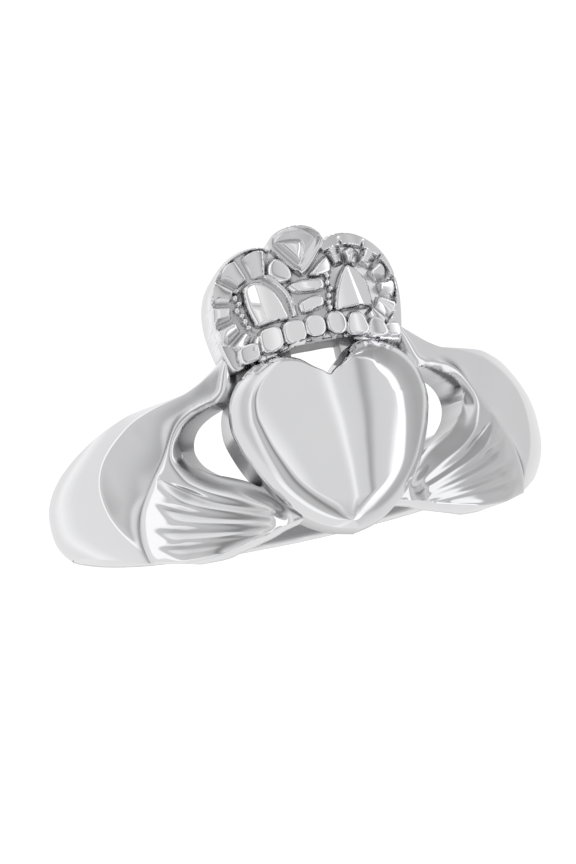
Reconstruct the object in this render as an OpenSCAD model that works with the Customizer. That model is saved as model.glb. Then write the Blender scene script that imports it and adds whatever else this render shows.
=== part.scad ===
// Claddagh ring in polished white metal, cast in one piece: a tapering band whose
// shoulders become two cuffed hands, a domed heart between the fingers, and a
// beaded crown over the heart. The ring lies on its side, crown up, on the lower
// edges of both hands and the lower edge of the back of the band.
// Units mm. Front (heart) faces -Y, crown up (+Z).

/* [Finger size] */
// Inside diameter of the finger hole
bore_d = 17.3; // [16.3:0.1:18.9]

/* [Band] */
// Width of the band at the back
back_w = 2.8; // [2.3:0.1:3.4]
// Thickness of the band at the back
back_t = 1.3; // [1.1:0.05:1.7]
// Thickness of the band at the shoulders
shoulder_t = 1.95; // [1.75:0.05:2.3]
// Height of the shoulders above the middle of the bore
shoulder_rise = 2.55; // [2.35:0.05:2.8]
// Fall of the rounded band from its crest to its edges
band_round = 0.62; // [0.4:0.02:0.8]
// Bevel where the band's edges meet the bore
comfort_bevel = 0.14; // [0.08:0.02:0.24]
// Angle by which the bore opens above and below its straight wall
comfort_flare = 1; // [0.6:0.1:1.4]

/* [Hands and cuffs] */
// Reach of the hands below the middle of the bore
hand_drop = 4.2; // [4:0.05:4.5]
// Thickness of the hands over the bore
hand_t = 1.85; // [1.6:0.05:2]
// Depth of the hollow cuff under the ridge of the sleeve
cuff_depth = 0.62; // [0.4:0.02:0.75]
// Depth of the grooves between the fingers
groove_depth = 0.2; // [0.1:0.02:0.3]
// Thickness of the floor around the heart
floor_t = 1.1; // [0.95:0.05:1.3]

/* [Heart] */
// Width of the heart, along its curve
heart_w = 8.4; // [8.2:0.05:8.7]
// Height of the heart from its tip to the tops of its lobes
heart_h = 7.3; // [7.1:0.05:7.5]
// Height of the heart's tip below the middle of the bore
heart_tip = 4.3; // [4.2:0.05:4.4]
// Thickness of the heart at its rim
heart_t = 1.95; // [1.7:0.05:2.1]
// Width of the bevel round the heart
heart_bevel = 0.34; // [0.2:0.02:0.5]
// Rise of the dome over the rim
heart_dome = 0.85; // [0.6:0.05:1.1]

/* [Crown] */
// Width of the crown across its side arches
crown_w = 8; // [7.7:0.05:8.3]
// Height of the crown's foot above the middle of the bore
crown_foot = 3.4; // [3.3:0.05:3.5]
// Height of the crown from foot to the top of its middle petal
crown_h = 4.95; // [4.6:0.05:5.2]
// Thickness of the crown's plate
crown_t = 1.75; // [1.5:0.05:1.9]
// Rise of the beads, ribs and petals over the plate
relief = 0.5; // [0.35:0.05:0.65]
// Width of one bead of the crown's foot
bead_w = 0.78; // [0.7:0.02:0.84]
// Height of one bead of the crown's foot
bead_h = 1.02; // [0.9:0.02:1.1]
// Rays in each side arch
arch_rays = 7; // [5:1:8]

/* [Hidden] */
bore_r = bore_d / 2;
back_half = back_w / 2;
back_r = bore_r + back_t;
straight_half = back_half - 2 * comfort_bevel;
floor_r = bore_r + floor_t;
// Places along the band are arcs at this radius.
arc_r = bore_r + 1.93;
deg_mm = arc_r * PI / 180;
// Hidden ends of solids: inside the bore, under the hands, outside all metal.
core_r = bore_r - 0.4;
base_r = bore_r + 0.45;
prism_r = bore_r - 1.6;
cut_r = bore_r + 4.2;
past_z = hand_drop + crown_foot + crown_h;
seam = 0.05;

// Lean that sets both hands and the back of the band on one plane.
rest_angle = 33;
back_edge_r = back_r - 0.2;
lean = atan((hand_drop - back_half) / (bore_r * cos(rest_angle) + back_edge_r));

// Columns: angle from the heart, share of the lower swell, share of the upper swell.
swell = [[0, .74, 1.05], [10, .75, 1.05], [17, .81, 1.05], [21, .88, 1.03],
         [24, .91, .9], [26.5, .94, .78], [30, .97, .64], [34, 1, .55], [41, .97, .53],
         [48, .87, .52], [55, .74, .45], [62, .59, .36], [70, .44, .24], [81, .26, .11],
         [97, .1, .03], [120, .02, 0], [180, 0, 0]];
// Columns: angle from the heart, share of the thickening from back to shoulder.
thicken = [[0, 1], [75, 1], [100, .85], [125, .5], [150, .16], [180, 0]];
// Columns: angle round the palm, reach of the opening, of the wrist crease and of
// the sleeve's ridge, as shares of the cuff's longest reach.
cuff_reach = 5.62;
cuff = [[-48, .28, 1.01, 1.01], [-40, .28, .95, .97], [-31, .28, .84, .96],
        [-23, .28, .75, .97], [-15, .285, .62, .99], [-8, .29, .52, 1],
        [0, .295, .445, .99], [9, .305, .405, .94], [17, .306, .39, .84],
        [28, .302, .375, .71], [41, .294, .355, .59], [57, .285, .345, .49],
        [77, .283, .345, .465], [100, .305, .375, .51], [122, .38, .46, .68]];
palm_at = [5.5, .2];
palm_ends = [3.1, 9.3];
thumb_from = -12;
thumb_turn = 127;
thumb_steps = 16;
thumb_fall = .12;
rim_wall = .06;
// Columns: inner edge and outer edge of the thumb's end at the crown, each as a
// place along the band and above the bore's middle.
thumb_end = [[3.98, 2.6, 4.36, 2.75], [3.85, 3.2, 4.15, 3.3], [3.74, 3.66, 3.92, 3.72]];
// Columns: share of the way across the thumb, fall from its top.
thumb_round = [[0, .1], [.2, 0], [.5, -.02], [.8, .1], [1, .5]];
// Lower edge of the opening along the fingers: place along the band, height.
opening_low = [[3.55, -1.95], [4.25, -1.5], [4.99, -1.15], [5.73, -.85]];
opening_top = [3.6, 2.1];
// Columns: share of the way up the heel of the hand, angle round the palm.
heel = [[0, -46], [.15, -36], [.33, -28.5], [.5, -22], [.65, -15.5], [.8, -7], [1, 12]];
heel_in = .12;
// Columns: share of the way along the fingers from wrist to heart, place of the
// fingers' upper edge along the band and above the bore's middle.
finger_top = [concat([0], heel_pt(1)), [.12, 7.25, .2], [.25, 6.75, -.55],
              [.4, 6, -1.25], [.6, 4.9, -1.85], [.8, 3.6, -2.65], [1, 2.2, -3.45]];
finger_end = 2;
// Shares of the hand's width at which the fingers part.
grooves = [.16, .36, .6, .85];
groove_w = .05;
wrist_fall = .45;
ledge_w = .5;
front_edge = 19;

function look(a, table, col) =
  lookup(a, [for (row = table) [row[0], row[col]]]);
function smooth(x) = let (c = min(1, max(0, x))) c * c * (3 - 2 * c);
function z_low(a) = -back_half - (hand_drop - back_half) * look(a, swell, 1);
function z_high(a) = back_half + 2 * (shoulder_rise - back_half) * look(a, swell, 2);
function crest(a) = back_r + (shoulder_t - back_t) * look(a, thicken, 1);
function ring_pt(a, r, z) = [r * sin(a), -r * cos(a), z];

// Rounded band: radius at an angle and height.
function band_r(a, z) =
  let (lo = z_low(a), hi = z_high(a), t = min(1.1, abs(2 * z - hi - lo) / (hi - lo)))
  crest(a) - band_round * pow(t, 2.6);
function skin(a, z) =
  let (low = floor_r - seam)
  a < front_edge ? low : low + (band_r(a, z) - low) * smooth((a - front_edge) / 3);

band_rows = [0, .03, .09, .18, .32, .5, .68, .82, .91, .97, 1];
half_angles = [0, 6, 10, 14, 17, front_edge, for (i = [1 : 22]) front_edge + i * 2,
               68, 74, 81, 90, 101, 115, 130, 146, 163];
angles = concat(half_angles, [180],
                [for (i = [len(half_angles) - 1 : -1 : 1]) -half_angles[i]]);
function section(a) =
  let (b = abs(a), lo = z_low(b), hi = z_high(b))
  concat([ring_pt(a, core_r, lo + comfort_bevel + bore_r - core_r),
          ring_pt(a, bore_r + comfort_bevel, lo)],
         [for (v = band_rows) let (z = lo + v * (hi - lo)) ring_pt(a, skin(b, z), z)],
         [ring_pt(a, bore_r + comfort_bevel, hi),
          ring_pt(a, core_r, hi - comfort_bevel - bore_r + core_r)]);

// A point of the ring as it lies, before it is lifted onto the floor.
function lying(p) =
  [p[0], p[1] * cos(lean) + p[2] * sin(lean), p[2] * cos(lean) - p[1] * sin(lean)];
rest_drop = -min([for (a = angles) for (p = section(a)) lying(p)[2]]);

module band() {
  sections = [for (a = angles) section(a)];
  n = len(sections);
  m = len(sections[0]);
  polyhedron(
    points = [for (sec = sections) each sec],
    faces = [for (i = [0 : n - 1], j = [0 : m - 1])
      let (i2 = (i + 1) % n, j2 = (j + 1) % m,
           p = i * m + j, q = i2 * m + j, p2 = i * m + j2, q2 = i2 * m + j2)
      each [[p, p2, q2], [p, q2, q]]],
    convexity = 10);
}

// Solid between a wavy face and a cylinder of radius r0. Grid of [place along the
// band, height, radius]; the face may lie outside the cylinder or inside it.
module patch(grid, r0) {
  n = len(grid);
  m = len(grid[0]);
  k = n * m;
  out = grid[1][1][2] > r0;
  face = [for (row = grid) for (g = row) ring_pt(g[0] / deg_mm, g[2], g[1])];
  back = [for (row = grid) for (g = row) ring_pt(g[0] / deg_mm, r0, g[1])];
  tris = concat(
    [for (i = [0 : n - 2], j = [0 : m - 2])
      let (p = i * m + j, q = p + m)
      each [[p, q + 1, p + 1], [p, q, q + 1],
            [k + p, k + p + 1, k + q + 1], [k + p, k + q + 1, k + q]]],
    [for (i = [0 : n - 2])
      let (p = i * m, q = p + m, u = p + m - 1, w = q + m - 1)
      each [[p, k + p, k + q], [p, k + q, q], [u, k + w, k + u], [u, w, k + w]]],
    [for (j = [0 : m - 2])
      let (p = j, q = (n - 1) * m + j)
      each [[p, p + 1, k + p + 1], [p, k + p + 1, k + p],
            [q, k + q + 1, q + 1], [q, k + q, k + q + 1]]]);
  polyhedron(points = concat(face, back),
             faces = out ? tris : [for (t = tris) [t[0], t[2], t[1]]],
             convexity = 8);
}

function palm_pt(th, reach) = palm_at + reach * [cos(th), sin(th)];
function curve_at(th, col) = cuff_reach * look(th, cuff, col);
cuff_angles = [for (i = [0 : 26]) -47 + i * 6.5];

// Hollow of the cuff, from the ridge of the sleeve to the wrist.
module cuff_hollow() {
  grid = [for (w = [-.1, 0, .14, .32, .55, .8, 1.06])
    [for (th = cuff_angles)
      let (ridge = curve_at(th, 3), wrist = curve_at(th, 2),
           p = palm_pt(th, ridge + w * (wrist - ridge - .1)),
           r = band_r(p[0] / deg_mm, p[1]))
      [p[0], p[1], w < 0 ? r + .05 : r - cuff_depth * (1 - pow(1 - min(1, w), 2.2))]]];
  patch(grid, cut_r);
}

// Upright prism through the band whose side walls point to the bore's axis.
// Outline in places along the band and heights.
module radial_prism(outline) {
  along = [for (p = outline) p[0]];
  mid = (min(along) + max(along)) / 2;
  rotate([0, 0, mid / deg_mm]) rotate([90, 0, 0]) translate([0, 0, prism_r])
    linear_extrude(height = cut_r - prism_r, scale = [cut_r / prism_r, 1])
      polygon([for (p = outline) [prism_r * tan((p[0] - mid) / deg_mm), p[1]]]);
}

// Room for the palm: the band falls to the floor inside the wrist.
module palm_room() {
  edge = [for (th = cuff_angles) palm_pt(th, curve_at(th, 2))];
  difference() {
    radial_prism(concat([[palm_ends[1], -past_z]], edge,
                        [[thumb_end[0][0], past_z], [palm_ends[0], past_z],
                         [palm_ends[0], -past_z]]));
    cylinder(r = floor_r, h = 3 * past_z, center = true, $fn = 120);
  }
}

// Hand from wrist to fingertips.
function heel_pt(v) = let (th = look(v, heel, 1)) palm_pt(th, curve_at(th, 2) + heel_in);
function along_fingers(t, v) =
  let (s = heel_pt(0)[0] + t * (finger_end - heel_pt(0)[0]),
       low = [s, z_low(s / deg_mm) + seam],
       top = [look(t, finger_top, 1), look(t, finger_top, 2)],
       bulge = heel_pt(v) - (1 - v) * heel_pt(0) - v * heel_pt(1))
  (1 - v) * low + v * top + pow(1 - t, 2) * bulge;
function finger_dip(v) = max([for (g = grooves) exp(-pow((v - g) / groove_w, 2))]);
function hand_r(t, v) =
  let (rise = smooth(t / .1), edge = pow(abs(min(1, 2.2 * v) - 1), 3))
  bore_r + hand_t - .28 * edge - .25 * smooth((t - .4) / .6)
    - groove_depth * finger_dip(v) * smooth((t - .05) / .06)
    - (1 - rise) * wrist_fall;
finger_rows = concat([0, .05], [for (g = grooves) each [g - groove_w, g, g + groove_w]], [1]);
module hand() {
  grid = [for (i = [0 : 17])
    let (t = i < 4 ? i * .035 : .105 + (i - 3) * .895 / 14,
         last = along_fingers(t, 1))
    concat([for (v = finger_rows) let (p = along_fingers(t, v)) [p[0], p[1], hand_r(t, v)]],
           [[last[0] - ledge_w * .6 * smooth(1 - 1.6 * t),
             last[1] + ledge_w * (.25 + .75 * smooth(3 * t)), floor_r - .05]])];
  patch(grid, base_r);
}

// Thumb round the upper rim of the opening, up to the crown.
module thumb() {
  rim = [for (i = [0 : thumb_steps]) let (th = thumb_from + i * thumb_turn / thumb_steps)
    [palm_pt(th, curve_at(th, 1)), palm_pt(th, curve_at(th, 2) + .08), 0]];
  tip = [for (e = thumb_end) [[e[0], e[1]], [e[2], e[3]], thumb_fall]];
  rows = len(thumb_round) - 1;
  grid = [for (i = [rows : -1 : 0]) [for (e = concat(rim, tip))
    let (p = e[0] + thumb_round[i][0] * (e[1] - e[0]))
    [p[0], p[1], bore_r + hand_t - thumb_round[i][1] - e[2] - seam]]];
  patch(grid, base_r);
}

// Pierced opening between thumb, fingers and heart.
module opening() {
  round = [for (th = [-45 : 12 : 123])
    palm_pt(th, curve_at(th, 1) - rim_wall - ledge_w * smooth(-th / 45))];
  radial_prism(concat(opening_low, round, [opening_top]));
}

module hands() {
  for (side = [0, 1]) mirror([side, 0, 0]) {
    hand();
    thumb();
  }
}

// Smooth closed or open line through the rows of a table.
function blend(p0, p1, p2, p3, t) =
  .5 * (2 * p1 + (p2 - p0) * t + (2 * p0 - 5 * p1 + 4 * p2 - p3) * t * t
        + (3 * p1 - p0 - 3 * p2 + p3) * t * t * t);
function through(pts, steps) =
  let (n = len(pts))
  [for (i = [0 : n - 2], k = [0 : steps - 1])
    blend(pts[max(0, i - 1)], pts[i], pts[i + 1], pts[min(n - 1, i + 2)], k / steps)];

// Heart edge from tip to cleft. Columns: share of half the width, share of the
// height above the tip.
heart_half = [[0, 0], [.24, .035], [.48, .12], [.7, .26], [.87, .43], [.97, .58],
              [1, .68], [.96, .8], [.84, .9], [.66, .97], [.45, 1], [.24, .96],
              [.1, .895], [0, .845]];
function heart_edge() =
  let (side = concat(through(heart_half, 2), [[0, .845]]))
  [for (p = concat(side, [for (i = [len(side) - 2 : -1 : 1]) [-side[i][0], side[i][1]]]))
    [p[0] * heart_w / 2, p[1] * heart_h - heart_tip]];
heart_mid = [0, .52 * heart_h - heart_tip];
heart_r = bore_r + heart_t;
heart_top = heart_r + heart_dome;
// Rise of the bevel, and radius of the even curves that the dome ends in.
bevel_rise = .26;
even_r = .41 * heart_h;
bevel_in = heart_bevel / (heart_w / 2);
dome_rise = heart_dome - bevel_rise;
// Columns: share of the edge's reach, radius.
heart_shells = [[1, core_r], [1, heart_r], [1 - bevel_in * .4, heart_r + .54 * bevel_rise],
                [1 - bevel_in, heart_r + bevel_rise],
                [.72, heart_r + bevel_rise + .4 * dome_rise],
                [.4, heart_r + bevel_rise + .82 * dome_rise]];
heart_rows = [for (sh = heart_shells) [for (p = heart_edge())
  let (d = p - heart_mid, round = pow(max(0, 1 - sh[0]), .7),
       q = heart_mid + sh[0] * ((1 - round) * d + round * even_r * d / norm(d)))
  ring_pt(q[0] / (heart_r * PI / 180), sh[1], q[1])]];

// The ring's box is centred on the origin.
front_y = max([for (row = heart_rows) for (p = row) -lying(p)[1]]);
back_y = max([for (p = section(180)) lying(p)[1]]);
centre_y = (front_y - back_y) / 2;

module heart() {
  n = len(heart_rows[0]);
  last = len(heart_shells) - 1;
  polyhedron(
    points = concat([for (row = heart_rows) each row],
                    [ring_pt(0, core_r, heart_mid[1]), ring_pt(0, heart_top, heart_mid[1])]),
    faces = concat(
      [for (j = [0 : last - 1], i = [0 : n - 1])
        let (i2 = (i + 1) % n)
        each [[j * n + i, (j + 1) * n + i2, j * n + i2],
              [j * n + i, (j + 1) * n + i, (j + 1) * n + i2]]],
      [for (i = [0 : n - 1]) [(last + 1) * n, i, (i + 1) % n]],
      [for (i = [0 : n - 1]) [(last + 1) * n + 1, last * n + (i + 1) % n, last * n + i]]),
    convexity = 6);
}

// Crown outline from foot to top, right half. Columns: share of half the width,
// share of the height above the foot.
crown_half = [[0, 0], [.4, -.01], [.72, -.05], [.88, -.08], [.93, .04], [.98, .18],
              [1, .34], [.985, .5], [.93, .64], [.84, .745], [.72, .825], [.6, .868],
              [.475, .885], [.35, .872], [.287, .845], [.26, .9], [.19, .958],
              [.1, .99], [0, 1]];
// Middles of the ornaments of the crown above its foot: arches, petal, leaves, bars.
arch_at = [.475 * crown_w / 2, .365 * crown_h];
petal_up = .835 * crown_h;
leaf_at = [.95, .64 * crown_h];
leaf_size = [1.15, .8];
leaf_turn = 48;
// Columns: width, height, height of the middle above the foot.
bars = [[1.6, .52, .48 * crown_h], [1.15, .7, .335 * crown_h]];
arch_dome = [[-.95, -.85], [.95, -.85], [.92, .05], [.62, .75], [0, 1.12], [-.62, .75],
             [-.92, .05]];
petal = [[0, -1.15], [.6, -.5], [1.06, .1], [1.02, .4], [.68, .7], [.2, .8],
         [-.2, .8], [-.68, .7], [-1.02, .4], [-1.06, .1], [-.6, -.5]];
// Rays fan out from the arch's middle. Columns: direction, outer end.
ray_reach = [[-40, 2.08], [0, 1.92], [45, 2.2], [75, 2.4], [105, 2.32]];
ray_from = 1.1;
fan = [100, -38];
bead_pitch = bead_w * 1.17;
bead_fall = .05;
last_bead = .72;
plate_r = bore_r + crown_t;
root = .25;
function crown_pt(p) = [p[0] * crown_w / 2, crown_foot + p[1] * crown_h];

module crown_plate() {
  half = [for (p = crown_half) crown_pt(p)];
  outline = concat(half, [for (i = [len(half) - 2 : -1 : 1]) [-half[i][0], half[i][1]]]);
  intersection() {
    rotate([90, 0, 0]) translate([0, 0, prism_r]) linear_extrude(height = cut_r - prism_r)
      polygon(outline);
    cylinder(r = plate_r, h = 2 * past_z, center = true, $fn = 120);
  }
}

// Raised ornament on the crown: an outline in its own axes, narrowing to its top.
module raised(at, turn, outline, top = .55, rise = 1) {
  rotate([0, 0, at[0] / deg_mm]) translate([0, root - plate_r, crown_foot + at[1]])
    rotate([90, 0, 0]) rotate([0, 0, turn])
      linear_extrude(height = root + relief * rise, scale = top) polygon(outline);
}
function oval(size, n = 10) =
  [for (i = [0 : n - 1]) [size[0] / 2 * cos(i * 360 / n), size[1] / 2 * sin(i * 360 / n)]];
function cushion(w, h) =
  [for (i = [0 : 7]) let (c = [1, .62, -.62, -1, -1, -.62, .62, 1],
                          d = [.62, 1, 1, .62, -.62, -1, -1, -.62])
    [w / 2 * c[i], h / 2 * d[i]]];

// One ray: narrow at the arch, widest near its outer end.
function ray(len, inner, outer) =
  [[-len / 2, -inner], [len * .3, -outer], [len / 2, -outer * .64], [len / 2, outer * .64],
   [len * .3, outer], [-len / 2, inner]];

module crown_relief() {
  for (i = [-3 : 3])
    let (far = abs(i), tall = far == 3 ? last_bead * bead_h : bead_h)
    raised([i * bead_pitch, tall / 2 + .06 - bead_fall * far * far], -2.5 * i * far,
           cushion(bead_w * 1.12, tall * 1.08), .78, .8);
  step = (fan[0] - fan[1]) / (arch_rays - 1);
  for (side = [-1, 1]) {
    raised([side * arch_at[0], arch_at[1] + .02], 0, arch_dome, [.5, .62], 1.15);
    for (k = [0 : arch_rays - 1])
      let (psi = fan[0] - k * step,
           reach = look(psi, ray_reach, 1),
           mid = (ray_from + reach) / 2,
           wide = step * PI / 180)
      raised([side * (arch_at[0] + mid * cos(psi)), arch_at[1] + mid * sin(psi)],
             side > 0 ? psi : 180 - psi,
             ray(reach - ray_from, wide * ray_from / 2, wide * reach * .47), [.9, .5], .8);
    raised([side * leaf_at[0], leaf_at[1]], side * leaf_turn, oval(leaf_size), .6, .9);
  }
  raised([0, petal_up], 0, petal, .6, 1.25);
  for (bar = bars)
    raised([0, bar[2]], 0, cushion(bar[0], bar[1]), [.85, .65], .9);
}

// Gap between the heart's lobes and the crown's foot.
cleft = [2.6, 5, 1.7];
module cleft_gap() {
  translate([0, -bore_r - 1, crown_foot - .8]) cube(cleft, center = true);
}

// Finger hole: a straight wall as wide as the back of the band, opening slightly
// above and below it.
module finger_hole() {
  reach = past_z - straight_half;
  cylinder(r = bore_r, h = 2 * past_z, center = true, $fn = 180);
  for (side = [0, 1]) mirror([0, 0, side])
    translate([0, 0, straight_half])
      cylinder(r1 = bore_r, r2 = bore_r + reach * tan(comfort_flare), h = reach, $fn = 180);
}

module ring() {
  color("silver") translate([0, centre_y, rest_drop]) rotate([-lean, 0, 0])
    difference() {
      union() {
        difference() {
          union() {
            difference() {
              band();
              for (side = [0, 1]) mirror([side, 0, 0]) {
                cuff_hollow();
                palm_room();
              }
            }
            hands();
          }
          for (side = [0, 1]) mirror([side, 0, 0]) opening();
          cleft_gap();
        }
        heart();
        crown_plate();
        crown_relief();
      }
      finger_hole();
    }
}

ring();
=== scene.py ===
import math
from functools import partial
import bmesh
import bpy
import numpy as np
from mathutils import Matrix, Vector


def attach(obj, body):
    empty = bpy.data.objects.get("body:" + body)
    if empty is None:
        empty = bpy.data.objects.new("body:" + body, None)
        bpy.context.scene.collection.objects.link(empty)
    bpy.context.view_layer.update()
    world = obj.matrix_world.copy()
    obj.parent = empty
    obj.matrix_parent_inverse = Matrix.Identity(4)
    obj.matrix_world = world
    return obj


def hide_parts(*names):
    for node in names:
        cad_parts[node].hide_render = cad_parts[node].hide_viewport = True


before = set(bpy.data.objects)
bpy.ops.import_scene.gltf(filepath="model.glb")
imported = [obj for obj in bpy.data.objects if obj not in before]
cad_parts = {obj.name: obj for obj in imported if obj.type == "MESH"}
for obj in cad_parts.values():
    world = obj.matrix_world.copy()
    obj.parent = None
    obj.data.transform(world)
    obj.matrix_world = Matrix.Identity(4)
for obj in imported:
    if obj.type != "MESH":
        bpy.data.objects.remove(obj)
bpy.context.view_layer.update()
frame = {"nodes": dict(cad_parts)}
mm = .001
tiny = 1e-12  # keeps divisions away from nothing

# How the ring lies: the finger hole leans back and the hoop stands on both hands
lie = {"lean": math.radians(9.3505), "middleY": .814, "drop": 2.9868}


# Reading tables and lines


def ease(x):
    x = np.clip(x, 0, 1)
    return x * x * (3 - 2 * x)


def fade(x, span):
    # from 0 to 1: where it starts and how far it takes, with a minus towards lower x
    return ease((x - span[0]) / span[1])


def quarter(x):
    # quarter round: steep at 0, level at 1
    x = np.clip(x, 0, 1)
    return np.sqrt(np.clip(1 - (1 - x) ** 2, 0, 1))


def readTable(rows, x, column=1):
    # smooth reading of a table with no overshoot
    rows = np.asarray(rows, float)
    at, value = rows[:, 0], rows[:, column]
    step, rise = np.diff(at), np.diff(value)
    slope = rise / step
    tangent = np.zeros_like(value)
    inner = slope[:-1] * slope[1:] > 0
    safeA = np.where(inner, slope[:-1], 1)
    safeB = np.where(inner, slope[1:], 1)
    blend = 3 * (step[:-1] + step[1:]) / ((2 * step[1:] + step[:-1]) / safeA
                                          + (step[1:] + 2 * step[:-1]) / safeB)
    tangent[1:-1] = np.where(inner, blend, 0)
    tangent[0], tangent[-1] = slope[0], slope[-1]
    x = np.clip(x, at[0], at[-1])
    k = np.clip(np.searchsorted(at, x, side="right") - 1, 0, len(step) - 1)
    t = (x - at[k]) / step[k]
    return ((1 + 2 * t) * (1 - t) ** 2 * value[k] + t * (1 - t) ** 2 * step[k] * tangent[k]
            + t * t * (3 - 2 * t) * value[k + 1] + t * t * (t - 1) * step[k] * tangent[k + 1])


def curveThrough(points, steps, closed=False):
    # smooth line through a few given points
    p = np.asarray(points, float)
    n = len(p)
    out = []
    for i in range(n if closed else n - 1):
        if closed:
            a, b, c, d = p[i - 1], p[i], p[(i + 1) % n], p[(i + 2) % n]
        else:
            a, b, c, d = p[max(0, i - 1)], p[i], p[i + 1], p[min(n - 1, i + 2)]
        for t in np.arange(steps) / steps:
            out.append(.5 * (2 * b + (c - a) * t + (2 * a - 5 * b + 4 * c - d) * t * t
                             + (3 * b - a - 3 * c + d) * t ** 3))
    if not closed:
        out.append(p[-1])
    return np.array(out)


def mirrored(half):
    # closed outline from its right half, drawn from the bottom to the top
    return np.concatenate([half, (half * (-1, 1))[-2:0:-1]])


def sideOf(line, s, z, closed=False):
    # distance to a line, positive on its left; also how far along it, 0 to 1
    a = line if closed else line[:-1]
    b = np.roll(line, -1, 0) if closed else line[1:]
    run = b - a
    length = np.hypot(run[:, 0], run[:, 1])
    along = np.concatenate([[0], np.cumsum(length)])
    farOff, hair = 1e9, 1e-9  # a start beyond any line, and the least gain that counts
    best = np.full(s.shape, farOff)
    sign = np.ones(s.shape)
    place = np.zeros(s.shape)
    for i in range(len(a)):
        ds, dz = s - a[i, 0], z - a[i, 1]
        t = np.clip((ds * run[i, 0] + dz * run[i, 1]) / max(length[i] ** 2, tiny), 0, 1)
        away = np.hypot(ds - t * run[i, 0], dz - t * run[i, 1])
        cross = run[i, 0] * dz - run[i, 1] * ds
        near = away < best - hair
        best = np.where(near, away, best)
        sign = np.where(near, np.sign(cross), sign)
        place = np.where(near, (along[i] + t * length[i]) / along[-1], place)
    if closed:
        inside = np.zeros(s.shape, bool)
        for i in range(len(a)):
            crosses = (a[i, 1] > z) != (b[i, 1] > z)
            climb = np.where(run[i, 1] == 0, tiny, run[i, 1])
            inside ^= crosses & (s < a[i, 0] + (z - a[i, 1]) / climb * run[i, 0])
        sign = np.where(inside, 1, -1)
    return best * sign, place


# Places and meshes


def lay(points):
    # from the hoop's own axes in mm to where it lies, in metres
    p = np.asarray(points, float)
    c, s = math.cos(lie["lean"]), math.sin(lie["lean"])
    return np.stack([p[:, 0], p[:, 1] * c + p[:, 2] * s + lie["middleY"],
                     p[:, 2] * c - p[:, 1] * s + lie["drop"]], 1) * mm


def placesOf(piece):
    # points of a piece in the hoop's own axes, in mm
    flat = np.empty(len(piece.data.vertices) * 3, np.float32)
    piece.data.vertices.foreach_get("co", flat)
    p = flat.reshape(-1, 3) / mm - (0, lie["middleY"], lie["drop"])
    c, s = math.cos(lie["lean"]), math.sin(lie["lean"])
    return np.stack([p[:, 0], p[:, 1] * c - p[:, 2] * s, p[:, 1] * s + p[:, 2] * c], 1)


def around(angle, radius, height):
    a = np.radians(angle)
    return np.stack([radius * np.sin(a), -radius * np.cos(a), height + 0 * a], -1)


def makeMesh(name, points, faces, shadeTone, inside):
    # each point is marked with its painted shade and whether it faces the finger
    mesh = bpy.data.meshes.new(name)
    mesh.from_pydata(lay(points).tolist(), [], [tuple(f) for f in faces])
    for key, values in (("paintedShade", shadeTone), ("inside", inside)):
        layer = mesh.attributes.new(key, "FLOAT", "POINT")
        layer.data.foreach_set("value", np.asarray(values, np.float32))
    mesh.validate()
    piece = bpy.data.objects.new(name, mesh)
    bpy.context.scene.collection.objects.link(piece)
    return piece


def changeMark(piece, key, change):
    layer = piece.data.attributes[key].data
    kept = np.empty(len(layer), np.float32)
    layer.foreach_get("value", kept)
    layer.foreach_set("value", change(kept).astype(np.float32))


def gridFaces(rows, columns, wrapRows=False, wrapColumns=False):
    faces = []
    for i in range(rows if wrapRows else rows - 1):
        for j in range(columns if wrapColumns else columns - 1):
            i2, j2 = (i + 1) % rows, (j + 1) % columns
            faces.append((i * columns + j, i2 * columns + j, i2 * columns + j2, i * columns + j2))
    return faces


def fixNormals(piece):
    shape = bmesh.new()
    shape.from_mesh(piece.data)
    bmesh.ops.recalc_face_normals(shape, faces=shape.faces[:])
    shape.to_mesh(piece.data)
    shape.free()


def smoothByAngle(piece, degrees):
    mesh = piece.data
    mesh.shade_smooth()
    mesh.set_sharp_from_angle(angle=math.radians(degrees))


def makeCutter(name, points, faces, tone):
    none = np.zeros(len(points))
    # the cutter's tone becomes painted shade on the walls that it cuts
    cutter = makeMesh(name, points, faces, none + tone, none)
    fixNormals(cutter)
    return cutter


def prismBetween(name, near, far, tone):
    n = len(near)
    faces = [(i, (i + 1) % n, n + (i + 1) % n, n + i) for i in range(n)]
    faces += [tuple(range(n))[::-1], tuple(range(n, 2 * n))]
    return makeCutter(name, np.concatenate([near, far]), faces, tone)


def blockAt(name, middle, half, tone):
    corners = [(x, y, z) for x in (-1, 1) for y in (-1, 1) for z in (-1, 1)]
    points = [[middle[k] + half[k] * c[k] for k in range(3)] for c in corners]
    faces = [(0, 1, 3, 2), (4, 6, 7, 5), (0, 4, 5, 1),
             (2, 3, 7, 6), (0, 2, 6, 4), (1, 5, 7, 3)]
    return makeCutter(name, points, faces, tone)


def cutWith(piece, cutter, how="DIFFERENCE"):
    cut = piece.modifiers.new("cut", "BOOLEAN")
    cut.object, cut.operation, cut.solver = cutter, how, "MANIFOLD"
    dressed = bpy.context.evaluated_depsgraph_get()
    mesh = bpy.data.meshes.new_from_object(piece.evaluated_get(dressed))
    mesh.validate()
    piece.modifiers.clear()
    old, piece.data = piece.data, mesh
    bpy.data.meshes.remove(old)
    bpy.data.objects.remove(cutter, do_unlink=True)


# Band with its hands

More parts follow.
